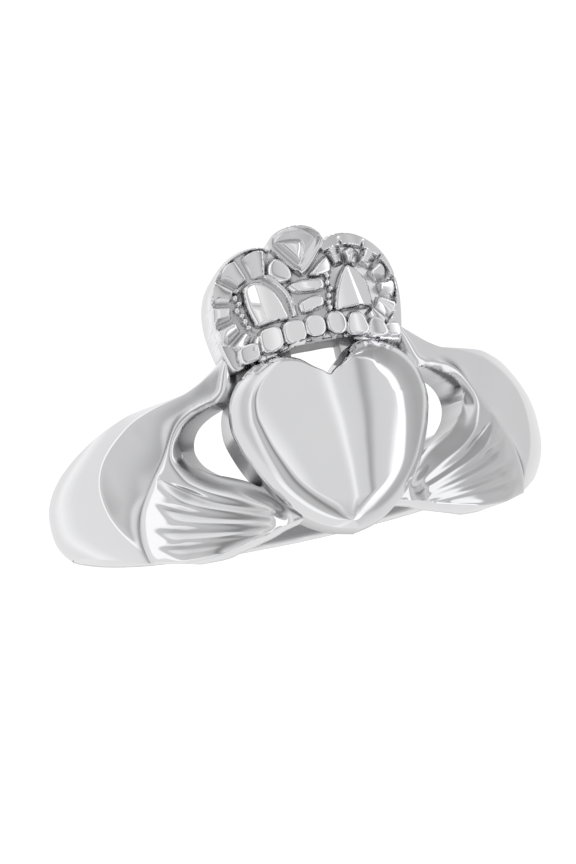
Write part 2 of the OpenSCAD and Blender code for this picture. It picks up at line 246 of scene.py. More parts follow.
hoop = {
    "bore": 8.65,  # radius of the finger hole
    "arc": 10.58,  # places along the band are arcs at this radius
    "back": 1.4,  # half the band's width at the back
    "backThick": 1.29,
    "shoulderThick": 1.925,
    "shoulderRise": 2.55,
    "handDrop": 4.2,
    "rounding": .62,  # fall from the band's crest to its edges
    "roundingPower": 2.6,  # higher keeps the band flatter in the middle
    "pastEdge": 1.1,  # the rounding goes on this far, with the edge at 1
    "floor": 1.1,  # thickness around the heart
    # angle from the heart, share of the lower swell, share of the upper swell
    "swell": [(0, .74, 1.05), (10, .75, 1.05), (17, .81, 1.05), (21, .88, 1.03), (24, .91, .9),
        (26.5, .94, .78), (30, .97, .64), (34, 1, .55), (41, .97, .53), (48, .87, .52),
        (55, .74, .45), (62, .59, .36), (70, .44, .24), (81, .26, .11), (97, .1, .03),
        (120, .02, 0), (180, 0, 0)],
    # angle from the heart, share of the thickening from back to shoulder
    "thicken": [(0, 1), (75, 1), (100, .85), (125, .5), (150, .16), (180, 0)],
    # columns of the mesh: from, to and step in degrees
    "columns": [(0, 10, 1), (10, 62, .27), (62, 80, .55), (80, 180, 2)],
    "rows": 132, "crowding": .035,  # rows are closer near both edges
    "softenings": 3,  # passes that soften the outer face
    # rounds between wall and edge, and between edge and outer face, as shares of their sizes
    "bevel": .14, "bevelRound": [(0, 1.1), (.35, .3), (1, 0)],
    "edge": .13, "edgeRound": [(1, 0), (.3, .25)],
    "wallSteps": 12,  # rows up the wall of the finger hole
    # the cleft's tone is painted shade on the walls that its block cuts
    "cleft": {"middle": (-.05, -9.65, 2.6), "half": (1.02, 2.6, .85), "tone": .8},
    "insideShade": .5,  # the inside is painted darker, as painted shade
    "openingShade": .7, "cleftShade": .85,  # painted shade along the cuts
    "onCut": .02,  # this near to a cut counts as on it
    "onWall": .01,  # the same for the wall of the finger hole
    "sharp": 38,  # degrees from which an edge stays sharp
}


def lowEdge(angle):
    drop = hoop["handDrop"] - hoop["back"]
    return -hoop["back"] - drop * readTable(hoop["swell"], angle, 1)


def highEdge(angle):
    rise = 2 * (hoop["shoulderRise"] - hoop["back"])
    return hoop["back"] + rise * readTable(hoop["swell"], angle, 2)


def bandSkin(angle, z):
    low, high = lowEdge(angle), highEdge(angle)
    t = np.minimum(hoop["pastEdge"], np.abs(2 * z - high - low) / (high - low))
    thicker = hoop["shoulderThick"] - hoop["backThick"]
    crest = hoop["bore"] + hoop["backThick"] + thicker * readTable(hoop["thicken"], angle)
    return crest - hoop["rounding"] * t ** hoop["roundingPower"]


# "At" in the names below is a place or height where something starts, and how far it takes
hands = {
    "cuff": {"depth": .62, "width": 2, "bend": 2.1, "least": .05},
    "palm": {
        "top": 1.83,  # thickness of the hands over the bore
        "sink": .25, "sinkAt": (7.5, -5.5),  # they are thinner towards the heart
        "step": .12,  # least step up from the cuff
        "wristRound": .6,
        "heelFall": .34, "heelRound": .7, "heelFrom": .5,  # round along the lower edge
        "rimFall": .16, "rimRound": .45, "rimAt": (8.3, -2),  # round along the well
    },
    "groove": {
        "depth": .28, "deepBy": .25, "shallower": .55,
        "width": .2, "tip": .2, "opening": 1.1, "wideBy": .28, "narrower": .6,
        "above": 1.6, "below": .6,  # wider towards the upper finger
        "from": .22,  # distance from the wrist to the full depth
    },
    "finger": {
        "crown": .15,  # how far each finger swells between its grooves
        "level": .6,  # share of the swell that leaves the palm as it is
        "from": .6, "wristAt": (8.9, -1.2), "heartAt": (2.5, 1.4),
    },
    "well": {
        "ledge": .34, "ledgeAt": (2.6, 2.5), "underAt": (.4, -1), "slope": .6,
        "wall": .24,
    },
    "frontAt": (15, 4),  # degrees from the heart where the hands end
    # painted shade in the gouges, along the wrist's crease, in the cuff's hollow, round the well
    # and over the palm
    "shadeSettings": {
        "grooves": 1.6,  # by the depth of the gouges
        "creaseWidth": .2, "creasePast": .05, "creaseAt": (5.6, 1.2),
        "hollowFrom": .3, "hollowReach": .9,
        "wellLow": .45, "wellHigh": .4, "wellAt": (.2, 1.2), "wellEdge": .1,
        "palmFrom": .15,
    },
    # share of each kind of painted shade that the right and the left hand have
    "shadeShares": {"grooves": (1, 1), "crease": (1, .7), "hollow": (0, .42), "well": (.25, 1),
        "palm": (.25, 0)},
    "cutFrom": 7.2, "cutTo": 12.8,  # the openings' cutters reach this far
    # places along the band and heights, from the crown round to the lower edge
    "ridge": [(3.7, 4.6), (4.3, 3.5), (5.1, 2.98), (6, 2.66), (7, 2.5), (8, 2.35), (9, 2.1),
        (10, 1.6), (10.7, 1), (11.05, .3), (11.1, -.4), (10.9, -1.2), (10.5, -2), (10.1, -2.6),
        (9.75, -3.2), (9.6, -3.8), (9.5, -4.7)],
    "wrist": [(3.8, 4.6), (3.98, 3.75), (4.2, 3.25), (4.4, 2.75), (4.6, 2.35), (5, 2.13),
        (5.6, 2.04), (6.2, 1.9), (6.75, 1.62), (7.2, 1.15), (7.6, .62), (8, .15), (8.5, -.35),
        (9, -.88), (9.38, -1.42), (9.56, -2), (9.64, -2.7), (9.62, -3.3), (9.55, -3.9),
        (9.45, -4.7)],
    "rim": [(3.6, 4.6), (3.74, 3.75), (3.86, 3.2), (4, 2.62), (4.25, 2.2), (4.65, 1.97),
        (5.15, 1.87), (5.85, 1.74), (6.45, 1.45), (6.88, 1.07), (7.12, .62), (7.16, .15),
        (6.98, -.32), (6.6, -.86), (6, -1.36), (5.4, -1.71), (4.4, -2.18), (3.7, -2.6),
        (3, -3.07), (2.2, -3.56), (1.2, -4.3), (.6, -4.9)],
    "hole": [(3.95, 1.9), (4.5, 1.9), (5.17, 1.78), (5.91, 1.58), (6.5, 1.28), (6.86, .85),
        (6.93, .4), (6.7, -.08), (6.28, -.48), (5.73, -.83), (4.99, -1.15), (4.3, -1.48),
        (3.8, -1.82), (3.6, -1.7), (3.8, -1.1), (3.9, -.3), (3.85, .6), (3.75, 1.4)],
    "lineSteps": 6,
    # groove lines from the tip at the wrist to the heart
    "grooves": [[(7.85, -.48), (7.5, -.83), (6.9, -1.3), (5.9, -1.95), (4.7, -2.5), (3.5, -3.02),
        (2.3, -3.6)], [(8.5, -1.3), (8.1, -1.56), (7.3, -1.98), (6.1, -2.5), (4.8, -2.94),
        (3.6, -3.32), (2.4, -3.72)], [(8.95, -2.32), (8.4, -2.5), (7.5, -2.76), (6.3, -3.08),
        (5, -3.38), (3.8, -3.6), (2.6, -3.86)], [(8.9, -3.13), (8.3, -3.27), (7.4, -3.46),
        (6.2, -3.66), (5, -3.8), (3.9, -3.9), (2.8, -4.02)]],
    "grooveSteps": 5,
}
handLines = [curveThrough(hands[name], hands["lineSteps"]) for name in ("ridge", "wrist", "rim")]
grooveLines = [curveThrough(line, hands["grooveSteps"]) for line in hands["grooves"]]
holeLine = curveThrough(hands["hole"], hands["lineSteps"], closed=True)


def gougesAndSwell(s, z, fromWell, toLow):
    # depth of the gouges between the fingers, and the fingers' swell between them
    groove = hands["groove"]
    bands = [sideOf(line, s, z) for line in grooveLines]
    gouge = np.zeros_like(s)
    for away, along in bands:
        opened = groove["opening"] * ease(along / groove["wideBy"])
        width = groove["width"] * (groove["tip"] + opened * (1 - groove["narrower"] * along))
        width = width * np.where(away > 0, groove["above"], groove["below"])
        depth = groove["depth"] * ease(along / groove["deepBy"]) * (1 - groove["shallower"] * along)
        gouge = np.maximum(gouge, depth * np.exp(-(away / width) ** 2))
    edges = [fromWell] + [away for away, along in bands] + [toLow]
    swell = np.zeros_like(s)
    for upper, lower in zip(edges[:-1], edges[1:]):
        a, b = np.abs(upper), np.abs(lower)
        between = (np.sign(upper) != np.sign(lower)) if upper is not edges[0] else (lower > 0)
        share = a / np.maximum(a + b, tiny)
        swell = np.maximum(swell, np.where(between, 4 * share * (1 - share), 0))
    return gouge, swell


def handSkin(angle, z):
    # radius of the outer face, and the painted shade at each place
    cuff, palm, finger, well = hands["cuff"], hands["palm"], hands["finger"], hands["well"]
    s = angle * math.pi / 180 * hoop["arc"]
    band = bandSkin(angle, z)
    inRidge, inWrist, inWell = [-sideOf(line, s, z)[0] for line in handLines]
    floor = hoop["bore"] + hoop["floor"]

    # hollow of the cuff, from the sleeve's ridge down to the wrist
    span = np.clip(inRidge, 0, None) + np.clip(-inWrist, 0, None)
    u = np.clip(inRidge / np.maximum(span, cuff["least"]), 0, 1)
    deep = cuff["depth"] * ease(span / cuff["width"])
    bowl = band - deep * (1 - (1 - u) ** cuff["bend"])
    radius = np.where(inRidge > 0, bowl, band)

    # the hand rises out of the cuff, rounded along the lower edge and the well
    top = hoop["bore"] + palm["top"] - palm["sink"] * fade(s, palm["sinkAt"])
    foot = np.minimum(radius, top - palm["step"])
    hand = foot + (top - foot) * quarter(inWrist / palm["wristRound"])
    fromLow = z - lowEdge(angle)
    hand = hand - (palm["heelFall"] * (1 - quarter(fromLow / palm["heelRound"]))
                   * ease(inWrist / palm["heelFrom"]))
    hand = hand - (palm["rimFall"] * (1 - quarter(-inWell / palm["rimRound"]))
                   * fade(s, palm["rimAt"]))

    # fingers: rounded between lens-shaped gouges that sweep to the heart
    gouge, swell = gougesAndSwell(s, z, -inWell, -fromLow)
    atHeart = fade(s, finger["heartAt"])
    onFingers = ease(inWrist / finger["from"]) * fade(s, finger["wristAt"]) * atHeart
    gouge = gouge * atHeart
    hand = (hand + (finger["crown"] * (swell - finger["level"])) * onFingers
            - gouge * ease(inWrist / hands["groove"]["from"]))
    radius = np.where(inWrist > 0, np.maximum(hand, floor), radius)

    # well round the opening: a short wall, then a ledge that slopes to the hole
    ledge = floor + (well["ledge"] * fade(s, well["ledgeAt"]) * fade(z, well["underAt"])
                     * (1 - ease(inWell / well["slope"])))
    wall = ease(inWell / well["wall"])
    radius = np.where(inWell > 0, radius + (np.minimum(ledge, radius) - radius) * wall, radius)

    shadeSettings = hands["shadeSettings"]
    hollow = np.exp(-(inWrist / shadeSettings["hollowReach"]) ** 2)
    wellTone = shadeSettings["wellLow"] + shadeSettings["wellHigh"] * fade(z, shadeSettings["wellAt"])
    # painted shade: in the gouges, a shadow line along the wrist, in the cuff's hollow, round the
    # well and over the palm
    shadeParts = {
        "grooves": np.clip(shadeSettings["grooves"] * gouge, 0, 1),
        "crease": (np.exp(-((inWrist + shadeSettings["creasePast"]) / shadeSettings["creaseWidth"]) ** 2)
                   * fade(s, shadeSettings["creaseAt"])),
        "hollow": ease(inRidge / shadeSettings["hollowFrom"]) * (inWrist < 0) * hollow,
        "well": np.where(inWell > 0, wellTone, 0) * ease(inWell / shadeSettings["wellEdge"]),
        "palm": ease(inWrist / shadeSettings["palmFrom"]),
    }
    return floor + (radius - floor) * fade(angle, hands["frontAt"]), shadeParts


def shareOf(kind, onRight):
    return np.where(onRight, *hands["shadeShares"][kind])


def soften(grid, times=1):
    for turn in range(times):
        grid = (np.roll(grid, 1, 0) + 2 * grid + np.roll(grid, -1, 0)) / 4
        middle = (grid[:, :-2] + 2 * grid[:, 1:-1] + grid[:, 2:]) / 4
        grid = np.concatenate([grid[:, :1], middle, grid[:, -1:]], 1)
    return grid


def sideWall(height, outer, way):
    # points across one side of the band, from the finger hole out; way is 1 below, -1 above
    bore, bevel, edge = hoop["bore"], hoop["bevel"], hoop["edge"]
    none = 0 * outer
    wall = [(bore + bevel * u + none, height + way * bevel * w) for u, w in hoop["bevelRound"]]
    wall += [(bore + (outer - bore) * .5, height)]
    wall += [(outer - edge * u, height + way * edge * w) for u, w in hoop["edgeRound"]]
    return wall


def makeBand():
    fine = np.concatenate([np.arange(*part) for part in hoop["columns"]] + [[180]])
    angles = np.concatenate([fine, -fine[-2:0:-1]])
    v = np.linspace(0, 1, hoop["rows"])
    v = v - hoop["crowding"] * np.sin(4 * math.pi * v)
    a = np.abs(angles)[:, None] + 0 * v
    low, high = lowEdge(a), highEdge(a)
    z = low + (high - low) * v
    r, shadeParts = handSkin(a, z)
    r = soften(r, hoop["softenings"])
    onRight = (angles > 0)[:, None]
    # painted shade over the outer face, shared out between the hands
    dark = soften(np.max([shadeParts[kind] * shareOf(kind, onRight) for kind in shadeParts], 0))
    z = np.clip(z, low + hoop["edge"] * (v == 0), high - hoop["edge"] * (v == 1))

    low, high, bore = low[:, 0], high[:, 0], hoop["bore"]
    wallLow = sideWall(low, r[:, 0], 1)
    wallHigh = sideWall(high, r[:, -1], -1)[::-1]
    start = hoop["bevel"] * hoop["bevelRound"][0][1]
    up = np.arange(1, hoop["wallSteps"]) / hoop["wallSteps"]
    inner = [(bore + 0 * low, high - start + (low - high + 2 * start) * t) for t in up]
    outer = [(r[:, j], z[:, j]) for j in range(hoop["rows"])]
    section = wallLow + outer + wallHigh + inner
    grid = np.stack([around(angles, radius, height) for radius, height in section], 1)
    n, m = grid.shape[:2]
    marks, inside = np.zeros((n, m)), np.zeros((n, m))
    marks[:, len(wallLow):len(wallLow) + len(outer)] = dark
    # painted shade over the inside
    marks[:, :1] = marks[:, -1 - len(inner):] = hoop["insideShade"]
    inside[:, :1] = inside[:, -1 - len(inner):] = 1
    piece = makeMesh("bandAndHands", grid.reshape(-1, 3), gridFaces(n, m, True, True),
                     marks.ravel(), inside.ravel())

    # two openings beside the heart and one under the crown
    height = holeLine[:, 1]
    for side in (1, -1):
        a = np.degrees(holeLine[:, 0] / hoop["arc"]) * side
        near, far = [around(a, hands[end], height) for end in ("cutFrom", "cutTo")]
        cutWith(piece, prismBetween("openingCut", near, far, hoop["openingShade"]))
    middle, half, tone = [hoop["cleft"][key] for key in ("middle", "half", "tone")]
    cutWith(piece, blockAt("cleftCut", middle, half, tone))

    # painted shade along the cuts, and one painted shade over the wall of the finger hole
    p = placesOf(piece)
    arc = np.abs(np.arctan2(p[:, 0], -p[:, 1])) * hoop["arc"]
    onOpening = np.abs(sideOf(holeLine, arc, p[:, 2], closed=True)[0]) < hoop["onCut"]
    onOpening = hoop["openingShade"] * onOpening * shareOf("well", p[:, 0] > 0)
    fromCleft = np.max([np.abs(p[:, k] - middle[k]) - half[k] for k in range(3)], 0)
    onCleft = hoop["cleftShade"] * (np.abs(fromCleft) < hoop["onCut"])
    onWall = np.hypot(p[:, 0], p[:, 1]) < bore + hoop["onWall"]
    changeMark(piece, "paintedShade", lambda kept: np.maximum(kept, np.maximum(onOpening, onCleft)))
    changeMark(piece, "paintedShade", lambda kept: np.where(onWall, hoop["insideShade"], kept))
    changeMark(piece, "inside", lambda kept: np.where(onWall, 1, kept))
    smoothByAngle(piece, hoop["sharp"])
    print("band and hands:", len(piece.data.polygons), "faces")
    return piece


# Heart between the hands

heart = {
    "width": 8.68, "height": 7.55, "tip": 4.4,
    "edge": 1.8,  # thickness at the outline, over the hole
    "inset": .05,  # how far the heart's back lies behind the wall of the hole
    "merge": .12,  # how softly the two halves meet
    "least": 1e-4,  # the same at the outline itself
    "lip": .2,  # round at the outline
    "tipFall": .45,  # how much further back the outline lies at the tip
    "tipReach": 2.4,  # height over the tip at which that ends
    "blend": .4,  # width of the round between bevel and top
    "sideStep": .06,  # how far the side stays behind the front's edge
    "rings": 96, "ringPower": 1.3,  # rings of points, closer near the outline
    "backRings": (.2, .4, .6, .8, 1),
    "evening": .8, "roundSize": .95,  # the inner rings are rounder than the outline
    "tone": .3, "toneRight": .2, "toneAt": (.25, .2),  # the bevel's painted shade, more on the right
    # painted shade on the heart's back and on its side
    "backTone": .5, "sideTone": .2,
    "sharp": 50, "steps": 10,
    # height along the hoop, distance of the top from the hoop's middle, bend across it
    "top": [(-4.5, 10.68, .12), (-3, 11.1, .108), (-1.2, 11.36, .078), (.6, 11.45, .057),
        (2.2, 11.41, .048), (3.4, 11.3, .045)],
    # share of the way round from the tip by the right side to the cleft (.5) and back,
    # steepness of the bevel
    "bevel": [(0, 1.07), (.1, 1.02), (.2, .84), (.3, .68), (.37, .74), (.42, 1), (.455, 1.8),
        (.48, 3.2), (.5, 6), (.53, 3.6), (.57, 2.6), (.63, 1.7), (.7, 1.45), (.8, 1.3),
        (.9, 1.12), (1, 1.07)],
    # right half of the outline: share of half the width, share of the height above the tip
    "outline": [(0, 0), (.24, .035), (.48, .12), (.7, .26), (.87, .43), (.97, .58), (1, .68),
        (.96, .8), (.84, .9), (.66, .97), (.45, 1), (.24, .965), (.1, .895), (0, .845)],
}


def heartSkin(flat, edge, sides):
    # how far in front of the hoop's middle the heart lies, and the painted shade on it
    rim = hoop["bore"] + heart["edge"]
    x, z = rim * np.sin(flat[:, 0] / hoop["arc"]), flat[:, 1]
    along = sideOf(edge, flat[:, 0], flat[:, 1], closed=True)[1]
    steep = readTable(heart["bevel"], along)
    # both halves count a little towards the distance, so no crease runs up from the tip
    right, left = [np.abs(sideOf(line, flat[:, 0], flat[:, 1])[0]) for line in sides]
    near, gap = np.minimum(right, left), np.abs(right - left)
    merge = heart["merge"] * near + heart["least"]
    away = np.clip(near - merge * np.log(1 + np.exp(-gap / merge)), 0, None)
    fall = heart["tipFall"] * ease(1 - (z + heart["tip"]) / heart["tipReach"])
    foot = np.sqrt(rim ** 2 - x ** 2) - fall
    side = foot + steep * away + heart["lip"] * (1 - np.exp(-away / heart["lip"]))
    top = readTable(heart["top"], z, 1) - readTable(heart["top"], z, 2) * x ** 2 / 2
    share = np.clip(.5 + .5 * (top - side) / heart["blend"], 0, 1)
    depth = top * (1 - share) + side * share - heart["blend"] * share * (1 - share)
    # painted shade on the bevel, more on the right
    tone = (heart["tone"] + heart["toneRight"] * ease(x)) * share * fade(away, heart["toneAt"])
    return x, z, depth, tone


def makeHeart():
    half = curveThrough(heart["outline"], heart["steps"])
    wide, high, drop = heart["width"] / 2, heart["height"], (0, heart["tip"])
    edge = mirrored(half) * (wide, high) - drop
    sides = [half * (turn * wide, high) - drop for turn in (1, -1)]
    middle = np.array([0, heart["height"] / 2 - heart["tip"]])
    spokes = edge - middle
    reach = np.hypot(spokes[:, 0], spokes[:, 1])
    front = 1 - np.linspace(0, 1, heart["rings"])[1:-1] ** heart["ringPower"]
    rings = [("back", ring) for ring in heart["backRings"]] + [("side", 1), ("front", 1)]
    rings += [("front", ring) for ring in front]
    grid, dark = [], []
    for place, ring in rings:
        even = (1 - ring) ** heart["evening"]
        circle = spokes / reach[:, None] * even * reach.mean() * heart["roundSize"]
        flat = middle + (spokes * (1 - even) + circle) * ring
        x, z, depth, tone = heartSkin(flat, edge, sides)
        # the back and the side take their own painted shade
        if place == "back":
            depth = np.sqrt((hoop["bore"] + heart["inset"]) ** 2 - x ** 2)
            tone = heart["backTone"] + 0 * x
        elif place == "side":
            depth, tone = depth - heart["sideStep"], heart["sideTone"] + 0 * x
        grid.append(np.stack([x, -depth, z], 1))
        dark.append(tone)
    n, m = len(rings), len(edge)
    top = readTable(heart["top"], middle[1:], 1)[0]
    ends = [[0, -hoop["bore"] - heart["inset"], middle[1]], [0, -top, middle[1]]]
    points = np.concatenate(grid + [ends])
    faces = gridFaces(n, m, False, True)
    faces += [(i, (i + 1) % m, n * m) for i in range(m)]
    faces += [((n - 1) * m + i, n * m + 1, (n - 1) * m + (i + 1) % m) for i in range(m)]
    dark = np.concatenate(dark + [[heart["backTone"], 0]])
    piece = makeMesh("heart", points, faces, dark, dark * 0)
    fixNormals(piece)
    smoothByAngle(piece, heart["sharp"])
    print("heart:", len(piece.data.polygons), "faces")
    return piece


# Crown over the heart

crown = {
    "width": 8, "foot": 3.4, "height": 4.95, "thick": 1.6,
    "relief": .58,  # full height of the ornament over the plate
    "plain": .12,  # height between the ornaments
    "across": (-4.2, 4.2, 264), "up": (2.7, 8.6, 186),  # from, to, number of points
    "edgeFall": .14, "edgeRound": .12,  # round along the crown's outline
    "lip": .1,  # tilts and marks start this far inside an edge
    "behind": .002,  # how far its back lies outside the bore
    "cutFrom": -14, "cutTo": -4,
    "sharp": 40, "steps": 5,
    # right half of the outline: share of half the width, share of the height above the foot
    "outline": [(0, 0), (.22, 0), (.34, -.03), (.5, -.068), (.72, -.09), (.88, -.1), (.94, .02),
        (.98, .18), (1, .34), (.985, .5), (.93, .64), (.84, .745), (.72, .825), (.6, .868),
        (.475, .885), (.35, .872), (.287, .845), (.27, .9), (.2, .958), (.1, .99), (0, 1)],
    # places across the crown and heights over the middle of the hole
    "petal": [(-1.12, 7.86), (-.85, 8.14), (-.4, 8.3), (.2, 8.33), (.75, 8.12), (1.13, 7.7),
        (1.08, 7.3), (.75, 6.88), (.4, 6.5), (-.02, 6.17), (-.2, 6.2), (-.55, 6.6), (-.95, 7.15),
        (-1.17, 7.55)],
    "petalFace": [(-.92, 7.74), (-.5, 7.8), (0, 7.76), (.28, 7.64), (.32, 7.35), (.2, 7),
        (-.02, 6.62), (-.2, 6.7), (-.5, 7.1), (-.8, 7.5)],
    "leafLeft": [(-1.05, 7.12), (-1.3, 6.95), (-1.42, 6.6), (-1.33, 6.3), (-.95, 6.04),
        (-.62, 6.02), (-.46, 6.2), (-.5, 6.55), (-.72, 6.93)],
    "leafRight": [(1.1, 6.84), (1.25, 6.5), (1.18, 6.12), (.8, 6.02), (.36, 6.04), (.14, 6.14),
        (.45, 6.4), (.8, 6.7)],
    "barTop": [(-.8, 5.8), (-.6, 5.96), (-.2, 6.03), (.4, 6), (.72, 5.93), (.8, 5.68), (.7, 5.44),
        (.3, 5.42), (-.3, 5.45), (-.6, 5.56)],
    "barLow": [(-.42, 5.12), (-.1, 5.24), (.3, 5.3), (.56, 5.22), (.64, 5), (.52, 4.74),
        (.1, 4.64), (-.34, 4.6), (-.48, 4.8)],
    "domeLeft": [(-2.62, 5.92), (-2.45, 6.2), (-2.05, 6.32), (-1.6, 6.14), (-1.2, 5.6),
        (-.98, 4.9), (-.98, 4.5), (-1.6, 4.47), (-2.3, 4.42), (-2.45, 4.7), (-2.6, 5.3)],
    "domeRight": [(1, 4.5), (1.02, 4.95), (1.25, 5.55), (1.55, 6.05), (1.85, 6.28), (2.2, 6.08),
        (2.54, 5.7), (2.66, 5.15), (2.56, 4.5), (1.8, 4.5)],
    # middle of each bead, then its width and height
    "beads": [(-2.84, 3.44, .94, .84), (-1.87, 3.8, 1.02, 1.1), (-.9, 3.92, 1.02, 1.06),
        (0, 4, .94, 1.06), (.9, 3.98, .92, 1.1), (1.76, 3.84, .88, 1.08), (2.58, 3.58, .84, .92),
        (3.3, 3.4, .66, .72)],
    "bead": {"tall": .86, "soft": .13, "bend": .04, "square": 3.6, "round": 2.4, "rounds": (3, 4),
        "pointed": (5, 6), "taper": (1.05, .42), "taperEnds": (.2, 2), "tilt": .05,
        "tiltRight": .17, "rightFrom": 4},
    "frame": {"line": [(-1.5, 6.42), (-1.06, 5.95), (-.78, 5.4), (-.7, 4.6)], "steps": 6,
        "tall": .34, "width": .15, "over": 4.55},
    "nuggets": [(.98, 6), (.92, 5.72), (.98, 5.44), (.86, 5.18), (.8, 4.9), (.78, 4.66),
        (-2.78, 6.1), (-2.9, 5.82), (-2.8, 5.55), (-2.92, 5.3), (-2.78, 5.05), (-2.72, 4.78),
        (-2.62, 4.52)],
    "nugget": {"radius": .15, "tall": .34, "uneven": .05, "soft": .12, "flat": (1.1, .2)},
    # name, height as a share of the relief, slope across
    "lumps": [("leafLeft", .8, .25), ("leafRight", .8, -.06), ("barTop", .85, 0),
        ("barLow", .8, .1)],
    "lumpSoft": .17,
    # directions of the cuts between the rays, from the middle of each arch
    "fanLeft": {"at": (-1.82, 5.2), "crest": .25, "cuts": [106, 74, 44, 16, -12, -38, -58, -80],
        "from": [1.15, 1.25, 1.3, 1.3, 1.25, 1.2, 1.15],
        "to": [2.38, 2.36, 2.38, 2.34, 2.26, 2.1, 2], "low": .02, "tall": .95, "innerTall": .75,
        "outerAt": (1.3, .8), "startsAt": 1.1, "endsAt": -.6},
    "fanRight": {"at": (1.82, 5.2), "crest": .3, "cuts": [114, 90, 64, 40, 12, -16, -44, -70],
        "from": [1.15, 1.05, 1.2, 1.05, 1.15, 1.05, 1], "to": [2, 1.85, 2, 1.85, 1.95, 2, 1.9],
        "low": .1, "tall": .9},
    # each ray: its round outer end, its round ends, and its rise and fall across
    "ray": {"belly": .05, "innerEnd": .16, "outerEnd": .14, "risePower": .8, "fallPower": 1.7,
        "lean": .3},
    "brimLeft": {"tall": .3, "endsAt": -1, "over": 4.2, "edgeAt": (.14, .1)},
    "brimRight": {"tall": .42, "at": (1.88, .1), "fall": .3, "fallFrom": 1.9, "fallOver": .6,
        "cuts": slice(1, 5), "cutDepth": .22, "cutWidth": .045, "cutAt": (2.35, -.3)},
    "domeLeftFace": {"tall": .8, "soft": .2, "tilt": .1, "tiltMore": .17, "moreAt": (5, .8),
        "from": -1.9, "slant": .1, "foot": 4.4, "over": .5},
    "domeRightFace": {"tall": .62, "soft": .14, "ridge": .34, "ridgeAt": 1.76, "top": 6.2,
        "slant": .12, "left": .3, "right": .17, "fold": .32, "foldAt": .08, "foldSlant": .07},
    "petalForm": {"margin": -.02, "clear": .05, "rim": .44, "bowl": .2, "bowlAt": (.1, .22),
        "fold": .12, "foldLine": [(1.12, 7.4), (.5, 6.75), (-.08, 6.2)], "foldPast": .18,
        "foldWidth": .15, "faceLow": .22, "faceTall": .46, "faceSoft": .14},
    # painted shade: low places, plain plate, rays' valleys, petal and foot
    "shadeSettings": {"low": .8, "lowReach": 3, "lowAt": (.03, .12), "lowEdge": (.06, .1), "plain": .45,
        "plainUnder": (.24, -.12), "plainEdge": (.3, .15), "plainOver": (3.6, .6), "valley": .4,
        "valleyFrom": 1.3, "valleyUnder": .4, "valleyOver": (3.9, .8), "valleyEdge": (.1, .1),
        "petal": .3, "faceLess": .8, "faceAt": .12, "foot": .85, "footAt": (.05, .4)},
}


def pillow(d, height, soft):
    return height * quarter(d / soft) * (d > 0)


def raised(h, d, tall, soft, more):
    # what is there, or a pillow with something on it where that is higher
    return np.maximum(h, (pillow(d, crown["relief"] * tall, soft) + more) * (d > 0))


def shapeIn(name, x, z):
    line = curveThrough(crown[name], crown["steps"], closed=True)
    return sideOf(line, x, z, closed=True)[0]


def fanHeight(fan, side, x, z):
    # saw-toothed rays: each rises from its upper cut and falls to the next
    ray = crown["ray"]
    u, w = side * (x - fan["at"][0]), z - fan["at"][1]
    turn, out = np.degrees(np.arctan2(w, u)), np.hypot(u, w)
    cuts = np.array(fan["cuts"], float)
    k = np.clip(np.searchsorted(-cuts, -turn, side="right") - 1, 0, len(cuts) - 2)
    part = (cuts[k] - turn) / (cuts[k] - cuts[k + 1])
    within = (turn < cuts[0]) & (turn > cuts[-1])
    crest = fan["crest"]
    fall = np.clip((part - crest) / (1 - crest), 0, 1)
    tooth = np.where(part < crest, ease(part / crest) ** ray["risePower"],
                     (1 - fall ** ray["fallPower"]) * (1 - ray["lean"] * fall))
    near, far = [np.array(fan[end])[k % len(fan[end])] for end in ("from", "to")]
    far = far + ray["belly"] * np.cos(math.pi * (2 * part - 1))
    ends = within * ease((out - near) / ray["innerEnd"]) * ease((far - out) / ray["outerEnd"])
    return ends * tooth, out, turn, within


def valleys(x, z):
    # painted shade in the low ends of the left rays
    shadeSettings = crown["shadeSettings"]
    teeth, out, turn, within = fanHeight(crown["fanLeft"], -1, x, z)
    place = (out > shadeSettings["valleyFrom"]) * (x < crown["fanLeft"]["endsAt"])
    return (shadeSettings["valley"] * within * place * (1 - ease(teeth / shadeSettings["valleyUnder"]))
            * fade(z, shadeSettings["valleyOver"]))


def raysOn(h, x, z, edge):
    rise, fan, brim = crown["relief"], crown["fanLeft"], crown["brimLeft"]
    teeth, out, turn, within = fanHeight(fan, -1, x, z)
    tall = fan["innerTall"] + (1 - fan["innerTall"]) * fade(out, fan["outerAt"])
    place = within & (out > fan["startsAt"]) & (x < fan["endsAt"])
    h = np.where(place, fan["low"] + rise * fan["tall"] * teeth * tall, h)
    h = np.maximum(h, brim["tall"] * (x < brim["endsAt"]) * (z > brim["over"])
                   * (1 - fade(edge, brim["edgeAt"])))
    fan, brim = crown["fanRight"], crown["brimRight"]
    teeth, out, turn, within = fanHeight(fan, 1, x, z)
    h = np.maximum(h, fan["low"] + rise * fan["tall"] * teeth)
    lower = brim["fall"] * np.clip(out - brim["fallFrom"], 0, brim["fallOver"])
    flat = within * fade(out, brim["at"]) * (brim["tall"] - lower)
    for cut in fan["cuts"][brim["cuts"]]:
        away = (turn - cut) * out * math.pi / 180
        flat = flat - (brim["cutDepth"] * np.exp(-(away / brim["cutWidth"]) ** 2)
                       * fade(out, brim["cutAt"]))
    return np.maximum(h, flat)


def beadsOn(h, x, z):
    bead = crown["bead"]
    for i, (bx, bz, wide, high) in enumerate(crown["beads"]):
        u, w = 2 * (x - bx) / wide, 2 * (z - bz + bead["bend"] * (x - bx) * bx) / high
        power = bead["round"] if i in bead["rounds"] else bead["square"]
        if i in bead["pointed"]:
            u = u / np.clip(bead["taper"][0] - bead["taper"][1] * w, *bead["taperEnds"])
        d = (1 - (np.abs(u) ** power + np.abs(w) ** power) ** (1 / power)) * min(wide, high) / 2
        tilt = (bead["tiltRight"] if i > bead["rightFrom"] else bead["tilt"]) * (x - bx)
        h = np.maximum(h, pillow(d, crown["relief"] * bead["tall"], bead["soft"])
                       + tilt * ease(d / crown["lip"]))
    return h


